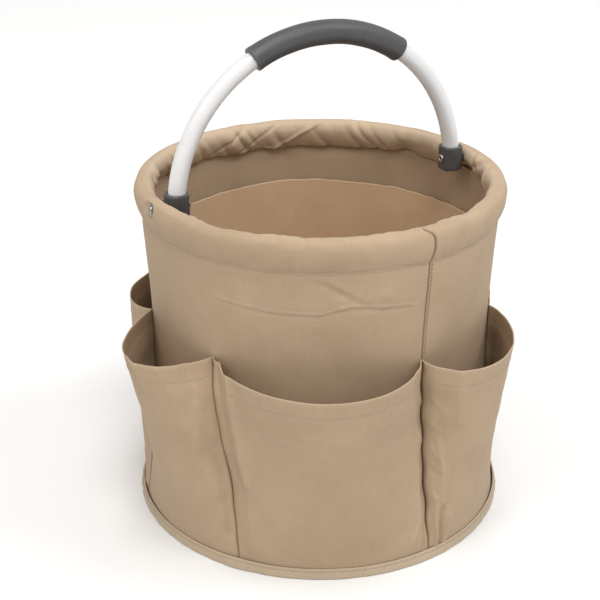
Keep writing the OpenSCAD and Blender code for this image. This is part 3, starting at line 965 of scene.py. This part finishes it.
def tapeShape(a, t):
    # section carried round, with a lapped join that steps out and eases back over 9 degrees
    section = throughPoints(tapeCut["section"] + tapeCut["section"][:1], t)
    r, z = section[..., 0], section[..., 1]
    pastJoin = turnFrom(a, tapeCut["joinAt"] - 0.10 * (z - 4.0))
    lap = 0.75 * rise(pastJoin, -0.25, 0.05) * (1.0 - rise(pastJoin, 2.0, 11.0))
    outside = rise(r, 155.3, 157.0)
    waver = 0.22 * ripple(a, z, 61, 16, 60, 40.0) + 0.10 * ripple(a, z, 62, 16, 160, 20.0)
    dent = -0.14 * hill(z - tapeCut["stitchHeight"], 0.8)
    sway = 0.25 * ripple(a, 0.0, 63, 12, 26, 100.0) * rise(z, 2.0, 8.0)
    return around(r + outside * (lap + waver + dent), a, z + sway)


tapeA = closeTogether(-180.0, 180.0, 0.8, [(tapeCut["joinAt"], 2.0, 0.15)])
tapeT = np.linspace(0.0, 1.0, 44, endpoint=False)
gridA, gridT = np.meshgrid(tapeA, tapeT, indexing="ij")
tapeRub = 0.5 * hill(gridT - 0.2, 0.07) + 0.4 * hill(gridT - 0.62, 0.05)
flatU = np.radians(np.append(tapeA, 180.0)) * tapeCut["flatRadius"]
flatV = np.append(tapeT, 1.0) * tapeCut["flatLength"]
tapeBand = addPiece(
    "tapeBand",
    meshFrom("tapeBand", tapeShape(gridA, gridT), flatU, flatV, ring=True, loop=True, wearAndPaintedLight=tapeRub),
    tapeTan, "bucket", ["base_binding"],
)
print("tape ready")


# stitching

fullTurn = np.arange(-180.0, 180.05, 0.5)
sewLine(
    "rimThread", rimShape, fullTurn, np.full(fullTurn.shape, rimCut["stitchRow"]), threadTan,
    lift=0.0, radius=0.2, steps=(0.2, 0.01),
)
seamUp = np.linspace(179.5, 258.0, 60)
seamSide = np.full(seamUp.shape, wallCut["seamAt"] + 0.75)
sewLine("seamThread", wallShape, seamSide, seamUp, threadDark, radius=0.24)
sewLine(
    "tapeThread", tapeShape, fullTurn, np.full(fullTurn.shape, tapeCut["stitchRow"]), threadTan,
    steps=(0.2, 0.01),
)
for facts, shape in zip(pocketSet, pocketShapes):
    across = np.linspace(0.012, 0.988, 90)
    level = 1.0 - (pocketCut["hem"] - 1.0) / (pocketCut["top"] - pocketCut["foot"])
    sewLine(
        facts["name"] + "Thread", shape, across, np.full(across.shape, level), threadTan,
        lift=0.05, radius=0.2, steps=(0.002, 0.002),
    )
print("stitching ready")


# handle grip: a foam sleeve on the arch

gripCut = {
    "arch": (126.0, 272.6), "from": 56.0, "to": 118.0, "flatRadius": 9.0,
    "bore": 7.05, "outside": 9.7, "edge": 0.9, "fill": 0.9,
}


def gripTrack():
    # stations (distance along the sleeve, radius) once round the wall's section: out, along, in and back
    c = gripCut
    length = np.radians(c["to"] - c["from"]) * c["arch"][0]
    corner = np.linspace(0.0, 0.5 * pi, 5)
    e = c["edge"]
    startOut = np.stack([e - e * np.cos(corner), c["outside"] - e + e * np.sin(corner)], -1)
    top = np.linspace(e, length - e, 80)[1:-1]
    outer = np.stack([top, np.full(top.shape, c["outside"])], -1)
    endOut = np.stack([length - e + e * np.sin(corner), c["outside"] - e + e * np.cos(corner)], -1)
    back = np.linspace(length, 0.0, 30)
    inner = np.stack([back, np.full(back.shape, c["bore"])], -1)
    return np.vstack([startOut, outer, endOut, inner]), length


track, gripLength = gripTrack()
gripB = np.linspace(0.0, 2.0 * pi, 40, endpoint=False)
gridB, gridK = np.meshgrid(gripB, np.arange(len(track)), indexing="ij")
alongSleeve, radiusHere = track[gridK, 0], track[gridK, 1]
soft = 0.16 * ripple(np.degrees(gridB), alongSleeve, 71, 14, 4, 70.0)
soft = soft + 0.10 * ripple(np.degrees(gridB), alongSleeve, 72, 14, 9, 25.0)
endSwell = 0.30 * (hill(alongSleeve - 1.5, 3.0) + hill(alongSleeve - gripLength + 1.5, 3.0))
radiusHere = radiusHere + (soft + endSwell) * rise(radiusHere, 8.0, 9.4)
archRadius, archHeight = gripCut["arch"]
archTurn = np.radians(gripCut["from"]) + alongSleeve / archRadius
reach = archRadius + radiusHere * np.cos(gridB)
gripPoints = np.stack([
    reach * np.cos(archTurn), radiusHere * np.sin(gridB), archHeight + reach * np.sin(archTurn),
], -1)
gripU = np.append(gripB, 2.0 * pi) * gripCut["flatRadius"]
gripV = np.append(track[:, 0], track[0, 0])
gripRub = 0.7 * (hill(alongSleeve, 1.4) + hill(alongSleeve - gripLength, 1.4)) * (radiusHere > 8.5)
gripSleeve = addPiece(
    "gripSleeve",
    meshFrom("gripSleeve", gripPoints, gripU, gripV, ring=True, loop=True, wearAndPaintedLight=gripRub),
    gripFoam, "handle", ["handle_grip"],
)


# end caps: rounded square sockets with a round boss behind

capCut = {
    "side": 18.0, "centre": 125.4, "bottom": 268.18, "top": 288.78, "edge": 1.1,
    "lip": 7.35, "squareness": 3.1, "boss": 6.0, "bossEnd": 135.8, "pivot": 278.5,
}


def squareRing(side, n, turn):
    # rounded square as a superellipse |x|^n + |y|^n = (side / 2)^n
    return 0.5 * side / (np.abs(np.cos(turn)) ** n + np.abs(np.sin(turn)) ** n) ** (1.0 / n)


def capPoints(side):
    # rings (height, inset) from the bottom lid up the side and in to the tube's collar
    c = capCut
    turn = np.linspace(0.0, 2.0 * pi, 56, endpoint=False)
    bend = np.linspace(0.0, 0.5 * pi, 5)
    e = c["edge"]
    heights = np.concatenate([
        [c["bottom"], c["bottom"]], c["bottom"] + e * (1.0 - np.cos(bend)),
        np.linspace(c["bottom"] + e, c["top"] - e, 9)[1:-1],
        c["top"] - e * (1.0 - np.sin(bend)), [c["top"], c["top"] - 0.15, c["top"] - 1.2],
    ])
    inset = np.concatenate([
        [6.0, 3.0], e * (1.0 - np.sin(bend)), np.zeros(7), e * (1.0 - np.cos(bend)), [1.45, 1.8, 1.9],
    ])
    ring = squareRing(c["side"], c["squareness"], turn)
    spread = np.clip(ring[:, None] - inset[None, :], 0.5, None)
    collar = rise(np.arange(len(heights)), len(heights) - 4, len(heights) - 2)
    spread = spread * (1.0 - collar) + c["lip"] * collar
    x = side * c["centre"] + spread * np.cos(turn)[:, None]
    y = spread * np.sin(turn)[:, None]
    z = np.broadcast_to(heights, spread.shape)
    edgeWear = hill(inset - 0.4, 0.5)[None, :] * np.ones(spread.shape)
    return np.stack([x, y, z], -1), turn * 0.5 * c["side"], heights, edgeWear


def bossPoints(side):
    # short round boss: radius boss with a rounded far edge, along x behind the cap
    c = capCut
    turn = np.linspace(0.0, 2.0 * pi, 40, endpoint=False)
    far = c["bossEnd"] - (c["centre"] + 0.5 * c["side"])
    along = np.array([-1.0, 0.3 * far, 0.7 * far, far - 0.25, far])
    radius = np.array([c["boss"], c["boss"], c["boss"], c["boss"] - 0.05, c["boss"] - 0.35])
    x = side * (c["centre"] + 0.5 * c["side"] + along)[None, :] + 0.0 * turn[:, None]
    y = side * radius[None, :] * np.cos(turn)[:, None]
    z = c["pivot"] + radius[None, :] * np.sin(turn)[:, None]
    return np.stack([x, y, z], -1), turn * c["boss"], along


for side, word in ((1.0, "right"), (-1.0, "left")):
    points, lineU, lineV, edgeWear = capPoints(side)
    capMesh = meshFrom(
        word + "Cap", points, np.append(lineU, pi * capCut["side"]), lineV,
        ring=True, ends=True, wearAndPaintedLight=edgeWear,
    )
    addPiece(word + "Cap", capMesh, capPlastic, "handle", [word + "_end_cap"])
    points, lineU, lineV = bossPoints(side)
    bossMesh = meshFrom(
        word + "Boss", points, np.append(lineU, 2.0 * pi * capCut["boss"]), lineV, ring=True, ends=True,
    )
    addPiece(word + "Boss", bossMesh, capPlastic, "handle")
print("handle ready")


# floor and its finish

half = 0.5 * studio["floorSide"]
floorMesh = bpy.data.meshes.new("floor")
floorCorners = [(-half, -half, 0.0), (half, -half, 0.0), (half, half, 0.0), (-half, half, 0.0)]
floorMesh.from_pydata(floorCorners, [], [(0, 1, 2, 3)])
floorMesh.materials.append(floorPaper.material)
floor = bpy.data.objects.new("floor", floorMesh)
floor.location.z = cadBox[0][2] - studio["floorGap"]
bpy.context.scene.collection.objects.link(floor)
